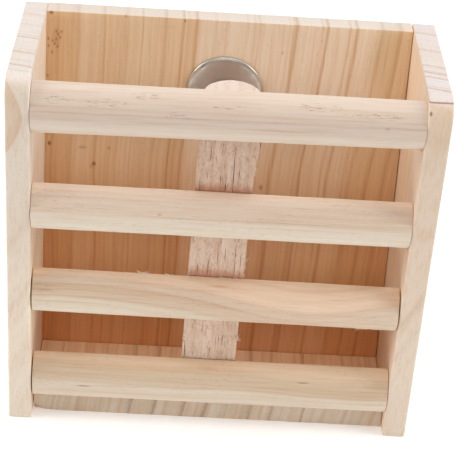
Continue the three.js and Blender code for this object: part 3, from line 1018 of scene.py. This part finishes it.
# Painted shade on the strut just above the upper and the lower slat, where each slat's round top
# shades it.
painted_shade_places = [
    (to_rack(node_points(node))[:, 2].max() - STRUT_HIGH) / MM - 0.5
    for node in ("slat_upper", "slat_lower")
]
strut_pine = pine(
    "pine_strut", UPWARD, RIGHT, INWARD, strut_middle,
    tones=[
        (-14, (0.73, 0.57, 0.455)), (-4, (0.76, 0.60, 0.49)), (4, (0.73, 0.57, 0.46)),
        (14, (0.73, 0.57, 0.445)),
    ],
    lines=[
        (-9, 0.2, 1.5, 0.6), (-6, 0.2, 2, 0.6), (-1, 0.15, 1, 0.6), (3, 0.3, 2, 0.6),
        (6, 0.2, 1, 0.5), (8.5, 0.3, 2, 0.6),
    ],
    marks=[
        *((top, -4, 0, (5.0, 26, 30), 0.9, (0.86, 0.58, 0.48)) for top in painted_shade_places),
        *surface_marks(2, [(g, a, half, 0.2, 1.0, CRACK) for g, a, half in STRUT_CRACKS]),
    ],
    stains=[(-90, -20, (0.90, 0.88, 0.87))], end_tint=(1.17, 1.31, 1.46), end_lines=0.3,
    ticks=0.5, fissures=1.0, fuzz=0.8, wander=1.0, seed=77.0, bump=0.3, fine=(1.9, 0.3),
    mottle=0.12, line_fade=0.6,
)


# ---- torn fibres that the saw left on the edges ----
FIBRE_THICKNESS = 0.36 * MM
FIBRE_ROOT = 0.3 * MM
FIBRE_RINGS = 7
FIBRE_SIDES = 6


def fibre(name, root, outward, along, length, draw):
    """One curled, tapering splinter that starts inside the wood."""
    curl = draw.uniform(-0.9, 0.9)
    lift = draw.uniform(0.5, 1.3)
    side = np.cross(outward, along)
    share = np.linspace(0, 1, FIBRE_RINGS)[:, None]
    path = root - FIBRE_ROOT * outward
    path = path + length * share * (along * np.sign(curl) + 0.35 * lift * outward)
    path = path + length * share**2 * (0.45 * lift * outward + 0.3 * curl * side)
    angles = np.linspace(0, 2 * math.pi, FIBRE_SIDES, endpoint=False)
    width = FIBRE_THICKNESS * draw.uniform(0.7, 1.5) * (1.05 - share)
    spokes = np.cos(angles)[:, None] * outward + np.sin(angles)[:, None] * side * 1.6
    rings = path[:, None, :] + width[:, :, None] * spokes[None, :, :]
    return closed_mesh(name, rings, [path[0] - 0.1 * MM * along, path[-1]])


def torn_fibres(name, tufts, material, slot, seed):
    """Tufts of splinters; each is (root, outward, along, spread, count, length), with its spread
    and length in millimetres."""
    draw = np.random.default_rng(seed)
    pieces = []
    for root, outward, along, spread, count, length in tufts:
        for _ in range(count):
            start = root + along * draw.normal(0, spread * MM / 2)
            reach = length * MM * draw.uniform(0.4, 1.2)
            pieces.append(fibre(name, start, outward, along, reach, draw))
    finish_piece(linked(name, joined(name, pieces)), material, "feeder", slot)


def on_slat_edge(node, x, up, forward):
    """A point on the upper (up 1) or lower (up -1) half of a slat's round side, x from the middle
    and forward from the flat side."""
    shape = SlatShape(node)
    share = shape.share(x * MM)
    roundness = math.sqrt(1 - (forward * MM / (shape.flat - shape.front)) ** 2)
    rise = between(*shape.halves, share) * roundness - 0.1 * MM
    height = between(*shape.centres, share) + up * rise
    return from_rack(np.array([[x * MM, shape.flat - forward * MM, height]]))[0]


def on_strut_edge(drop, side):
    """A point on the left (-1) or right (1) arris of the strut's flat side, drop below its
    top."""
    local = np.array([[0.3 * MM, side * (STRUT_RADIUS - 0.2 * MM), STRUT_HIGH - drop * MM]])
    return place_strut(local)[0]


# (slat, x, upper or lower edge, forward from the flat side, spread, count, length)
SLAT_TUFTS = [
    ("slat_lower", -32.0, 1, 0.5, 2.2, 12, 2.6), ("slat_lower", -20.5, 1, 0.5, 2.2, 8, 2.0),
    ("slat_lower", 2.5, 1, 0.5, 2.0, 9, 2.0), ("slat_lower", 9.0, 1, 0.5, 2.0, 6, 1.6),
    ("slat_lower", 65.0, -1, 5.0, 2.0, 8, 2.2), ("slat_lower", 71.5, -1, 5.0, 1.6, 8, 2.0),
    ("slat_upper", 77.5, -1, 5.0, 1.0, 9, 2.2), ("slat_top", 78.0, -1, 5.0, 1.0, 5, 1.6),
]
# (below the strut's top, left or right edge, spread, count, length)
STRUT_TUFTS = [
    (36, 1, 3.0, 12, 2.4), (56, 1, 4.0, 7, 1.8), (85, 1, 3.0, 10, 2.4), (98, 1, 4.0, 14, 3.4),
    (101, -1, 2.4, 8, 1.8), (126, 1, 2.6, 12, 2.2), (92, -1, 3.0, 7, 1.4),
    (60, -1, 3.5, 6, 1.3), (130, -1, 3.0, 6, 1.4),
]
torn_fibres(
    "slat_splinters",
    [(on_slat_edge(node, x, up, forward), up * UPWARD, RIGHT, *size)
     for node, x, up, forward, *size in SLAT_TUFTS],
    slat_materials["slat_upper"], "slat_pine", 71,
)
torn_fibres(
    "strut_splinters",
    [(on_strut_edge(drop, side), side * RIGHT, UPWARD, *size)
     for drop, side, *size in STRUT_TUFTS],
    slat_materials["slat_top"], "strut_pine", 72,
)


# ---- plated steel ----
STEEL_STAIN = (0.84, 0.80, 0.74)
STEEL_SPECK = (0.74, 0.72, 0.70)


def plated_steel(name, colour, centre, roughness):
    """Zinc plate: faint turning marks round the centre, small stains and uneven gloss."""
    s = Shader(name)
    object_place = s.node("ShaderNodeTexCoord", {}).outputs["Object"]
    place = s.vector("SCALE", s.vector("SUBTRACT", object_place, tuple(centre)))
    s.nodes[-1].inputs["Scale"].default_value = 1 / MM
    parts = s.node("ShaderNodeSeparateXYZ", {0: place}).outputs
    radius = s.vector("LENGTH", s.combine(parts[0], 0.0, parts[2]))
    turning = s.noise((radius, 0.0, 0.0), (5.0, 0.0, 0.0), detail=3.0)
    stain = s.noise(parts, (0.25, 0.25, 0.25), detail=4.0, roughness=0.6)
    speck = s.noise(parts, (2.2, 2.2, 2.2))
    shade = s.tint(colour, s.smooth(stain, 0.4, 0.7, 0.0, 0.5), STEEL_STAIN)
    shade = s.tint(shade, s.smooth(speck, 0.6, 0.75, 0.0, 0.35), STEEL_SPECK)
    gloss = s.smooth(stain, 0.3, 0.7, roughness, roughness + 0.14)
    s.feed(s.surface.inputs["Base Color"], shade)
    s.feed(s.surface.inputs["Metallic"], 1.0)
    s.feed(s.surface.inputs["Roughness"], gloss)
    s.bump(s.scaled_on(speck, 0.5, turning), 0.02 * MM, 0.5)
    return s.material


# ---- nails ----
NAIL_CLEARANCE = 0.15 * MM
NAIL_SIDES = 20
NAIL_COLOUR = (0.60, 0.59, 0.57)


def nail_line(node):
    """The middle of a nail's head, the direction from its head to its point, its length and its
    head's radius."""
    points = node_points(node)
    centre = points.mean(axis=0)
    axis = np.linalg.svd(points - centre)[2][0]
    along = (points - centre) @ axis
    radial = np.linalg.norm(points - centre - along[:, None] * axis, axis=1)
    if along[radial.argmax()] > 0:
        axis, along = -axis, -along
    low, high = along.min(), along.max()
    return centre + low * axis, axis, high - low, radial.max()


def nail_mesh(node, grow=0.0, above=0.0):
    """A nail, or with grow the cutter of its hole, which starts above the nail's head."""
    head_middle, axis, length, radius = nail_line(node)
    shank, head, point = 0.8 * MM + grow, 0.7 * MM + grow, 2.5 * MM
    rim = 0.0 if grow else 0.15 * MM
    profile = [
        (radius + grow - rim, -above),
        (radius + grow, rim - above),
        (radius + grow, head - rim),
        (radius + grow - rim, head),
        (shank, head),
        (shank, length - point),
        (0.25 * MM, length),
    ]
    return turned(node + "_steel", profile, NAIL_SIDES, head_middle, axis)


nail_nodes = sorted(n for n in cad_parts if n.startswith("nail_"))
nail_material = plated_steel("bright_nail_steel", NAIL_COLOUR, (0, 0, 0), 0.30)
for node in nail_nodes:
    nail = linked(node + "_steel", nail_mesh(node))
    finish_piece(nail, nail_material, "feeder", "nail_steel", node)


def holes_for(word):
    """Cutters for the nails whose names hold the word."""
    return [nail_mesh(n, NAIL_CLEARANCE, 1.5 * MM) for n in nail_nodes if word in n]


# ---- clamping hardware ----
inner_low, inner_high = corners_of("inner_washer")
bolt_low, bolt_high = corners_of("mounting_bolt")
clamp_axis = (inner_low + inner_high) / 2
WASHER_RADIUS = (inner_high[0] - inner_low[0]) / 2
WASHER_THICKNESS = inner_high[1] - inner_low[1]
WASHER_HOLE = 3.3 * MM
WASHER_SIDES = 96
PANEL_HOLE = 3.5 * MM
THREAD_PITCH = 1 * MM
THREAD_DEPTH = 0.45 * MM
THREAD_SIDES = 28
ROWS_PER_PITCH = 8
PLAIN_SHANK = 2 * MM
BOLT_RADIUS = 2.85 * MM
HEAD_HEIGHT = 4 * MM
HEAD_SIDES = 72
ACROSS_FLATS = 10 * MM
ZINC_COLOUR = (0.60, 0.55, 0.49)

# The front rim's fall: (inset from the rim in millimetres, height in half thicknesses).
ROLLED_EDGE = [
    (2.3, -1.0), (1.7, -0.96), (1.25, -0.84), (0.85, -0.62), (0.5, -0.36), (0.2, -0.12),
    (0.04, 0.12), (0.0, 0.4),
]
# Down a bolt's head from its under face: (drop in millimetres, share of the hexagon).
HEAD_ROWS = [(0.0, 0.93), (0.25, 1.0), (2.2, 1.0), (3.0, 1.0), (3.4, 1.0), (3.8, 1.0), (4.0, 1.0)]

zinc = plated_steel("zinc_plate", ZINC_COLOUR, clamp_axis, 0.26)


def washer(name, node, body):
    """A stamped washer: its front edge is rolled over by the punch, and its back edge is
    crisp."""
    low, high = corners_of(node)
    half = WASHER_THICKNESS / 2
    profile = [(WASHER_HOLE, -0.75 * half), (WASHER_HOLE + 0.25 * half, -half)]
    profile += [(WASHER_RADIUS * share, -half) for share in (0.5, 0.75)]
    profile += [(WASHER_RADIUS - inset * MM, height * half) for inset, height in ROLLED_EDGE]
    profile += [(WASHER_RADIUS, 0.85 * half), (WASHER_RADIUS - 0.1 * MM, half)]
    profile += [(WASHER_RADIUS * share, half) for share in (0.75, 0.5)]
    profile += [(WASHER_HOLE + 0.25 * half, half), (WASHER_HOLE, 0.75 * half)]
    profile.append(profile[0])
    mesh = turned(name, profile, WASHER_SIDES, (low + high) / 2, BACK)
    finish_piece(linked(name, mesh), zinc, body, "zinc_steel", node)


washer("inner_washer_steel", "inner_washer", "feeder")
washer("outer_washer_steel", "outer_washer", "clamp_washer")


def round_bolt(start, radius, heights, angles):
    """Rings of points round the bolt's axis, each row at its height behind start."""
    return np.stack(
        [
            start[0] + radius * np.cos(angles),
            np.broadcast_to(start[1] + heights[:, None], radius.shape),
            start[2] + radius * np.sin(angles),
        ],
        axis=-1,
    )


def thread_mesh(start, length):
    """A shank with a helical thread, from start towards the back of the feeder, chamfered at its
    tip."""
    rows = round(length / THREAD_PITCH * ROWS_PER_PITCH)
    angles = np.linspace(0, 2 * math.pi, THREAD_SIDES, endpoint=False)
    heights = np.linspace(0, length, rows + 1)
    turn = heights[:, None] / THREAD_PITCH - angles[None, :] / (2 * math.pi)
    crest = np.abs((turn % 1.0) - 0.5) * 2
    radius = BOLT_RADIUS - THREAD_DEPTH * np.clip(1.3 * crest - 0.15, 0, 1)
    taper = np.clip(length - heights, 0, 1 * MM)[:, None] + BOLT_RADIUS - 1 * MM
    radius = np.minimum(radius, taper)
    radius = np.where(heights[:, None] < PLAIN_SHANK, BOLT_RADIUS, radius)
    rings = round_bolt(start, radius, heights, angles)
    return closed_mesh("thread", rings, [start, start + length * BACK])


def hexagon_head(under_face):
    """A forged head with a washer face and a chamfered top, from the hexagon and a wide cone."""
    angles = np.linspace(0, 2 * math.pi, HEAD_SIDES, endpoint=False)
    folded = (angles + math.pi / 6) % (math.pi / 3) - math.pi / 6
    hexagon = ACROSS_FLATS / 2 / np.cos(folded)
    drops, shares = np.array(HEAD_ROWS).T
    drops = drops * MM
    cone = ACROSS_FLATS / 2 * 1.02 + (HEAD_HEIGHT - drops) * 1.7
    radius = np.minimum(shares[:, None] * hexagon, cone[:, None])
    rings = round_bolt(under_face, radius, -drops, angles)
    return closed_mesh("head", rings, [under_face, under_face - HEAD_HEIGHT * BACK])


def mounting_bolt(name):
    under_face = np.array([clamp_axis[0], bolt_low[1] + HEAD_HEIGHT, clamp_axis[2]])
    length = bolt_high[1] - under_face[1]
    mesh = joined(name, [thread_mesh(under_face, length), hexagon_head(under_face)])
    finish_piece(linked(name, mesh), zinc, "feeder", "zinc_steel", "mounting_bolt")


mounting_bolt("mounting_bolt_steel")


def wing_nut(name):
    """The CAD nut's shape, cast: every edge rounded by remeshing and smoothing."""
    nut = linked(name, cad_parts["wing_nut"].data.copy())
    nut.modifiers.new("weld", "WELD").merge_threshold = 0.01 * MM
    remesh = nut.modifiers.new("remesh", "REMESH")
    remesh.mode = "VOXEL"
    remesh.voxel_size = 0.28 * MM
    soften = nut.modifiers.new("soften", "SMOOTH")
    soften.factor = 0.5
    soften.iterations = 7
    apply_modifiers(nut)
    finish_piece(nut, zinc, "clamp_nut", "zinc_steel", "wing_nut")


wing_nut("wing_nut_steel")


# ---- holes, and the wooden pieces' looks ----
bolt_hole_start = np.array([clamp_axis[0], back_low[1] - 5 * MM, clamp_axis[2]])
bolt_hole_profile = [(PANEL_HOLE, 0.0), (PANEL_HOLE, 20 * MM)]
bolt_hole = turned("bolt_hole", bolt_hole_profile, 40, bolt_hole_start, BACK)
# (piece, material, slot, CAD node, words in the names of its nails)
wooden_pieces = [
    (left_side, left_pine, "side_pine", "left_side_panel", ["left"]),
    (right_side, right_pine, "side_pine", "right_side_panel", ["right"]),
    (back_board, back_pine, "back_pine", "back_panel", ["nail_back", "nail_rear"]),
    (floor_board, floor_pine, "floor_pine", "bottom_board", ["nail_floor", "nail_rear"]),
    (strut, strut_pine, "strut_pine", "centre_strut", ["nail_strut"]),
]
wooden_pieces += [
    (piece, slat_materials[node], "slat_pine", node, ["nail_" + node, "nail_strut_" + node])
    for node, piece in slats.items()
]
for piece, material, slot, node, words in wooden_pieces:
    cutters = [bolt_hole] if node == "back_panel" else []
    for word in words:
        cutters += holes_for(word)
    drill(piece, cutters)
    finish_piece(piece, material, "feeder", slot, node)


# ---- floor, light and camera ----
WHITE = (1.0, 1.0, 1.0, 1.0)
FLOOR_COLOUR = (0.86, 0.86, 0.86, 1.0)
FLOOR_SIZE = 8.0
FLOOR_GLOW = 0.24
WORLD_STRENGTH = 0.20
RACK_MIDDLE = (0, 0, 0.1)


def studio_floor():
    bpy.ops.mesh.primitive_plane_add(size=FLOOR_SIZE, location=(0, 0, cad_box[0][2]))
    floor = bpy.context.object
    floor.name = "studio_floor"
    s = Shader("studio_white")
    settings = {"Base Color": FLOOR_COLOUR, "Roughness": 0.9, "Specular IOR Level": 0.1,
                "Emission Color": WHITE, "Emission Strength": FLOOR_GLOW}
    for key, value in settings.items():
        s.feed(s.surface.inputs[key], value)
    floor.data.materials.append(s.material)


def studio_world(strength):
    world = bpy.data.worlds.new("studio")
    world.use_nodes = True
    background = world.node_tree.nodes["Background"]
    background.inputs["Color"].default_value = WHITE
    background.inputs["Strength"].default_value = strength
    bpy.context.scene.world = world


def soft_light(name, place, target, size, power):
    light = bpy.data.lights.new(name, "AREA")
    light.shape = "RECTANGLE"
    light.size = light.size_y = size
    light.energy = power
    lamp = linked(name, light)
    lamp.location = place
    towards = Vector(target) - Vector(place)
    lamp.rotation_euler = towards.to_track_quat("-Z", "Y").to_euler()


def photograph_camera(target, distance, yaw, pitch, roll, lens):
    """Looks at target from the front and above; yaw turns right, pitch tips down, roll tips
    clockwise."""
    forward = Vector(
        (math.sin(yaw) * math.cos(pitch), math.cos(yaw) * math.cos(pitch), -math.sin(pitch))
    )
    level = Vector((math.cos(yaw), -math.sin(yaw), 0))
    level_up = level.cross(forward)
    right = level * math.cos(roll) + level_up * math.sin(roll)
    up = right.cross(forward)
    camera = linked("camera", bpy.data.cameras.new("camera"))
    turn = Matrix((right, up, -forward)).transposed().to_4x4()
    camera.matrix_world = Matrix.Translation(Vector(target) - distance * forward) @ turn
    camera.data.lens = lens
    camera.data.sensor_width = 36.0
    camera.data.sensor_fit = "HORIZONTAL"
    camera.data.clip_start = 0.01
    bpy.context.scene.camera = camera


studio_floor()
studio_world(WORLD_STRENGTH)
soft_light("overhead_softbox", (0.35, 0.25, 1.5), (0.35, 0.25, 0), 2.0, 17.2)
soft_light("front_softbox", (0, -1.2, 1.2), RACK_MIDDLE, 1.2, 3.4)
soft_light("right_softbox", (1.3, -0.2, 0.7), RACK_MIDDLE, 1.0, 13.9)
soft_light("left_softbox", (-1.3, -0.2, 0.7), RACK_MIDDLE, 1.0, 15.5)
photograph_camera(
    target=(0.0064, -0.0128, 0.0948), distance=0.80, yaw=math.radians(1.90),
    pitch=math.radians(27.71), roll=math.radians(4.01), lens=140.0,
)
bpy.context.scene.view_settings.view_transform = "Standard"
bpy.context.scene.cycles.diffuse_bounces = 8
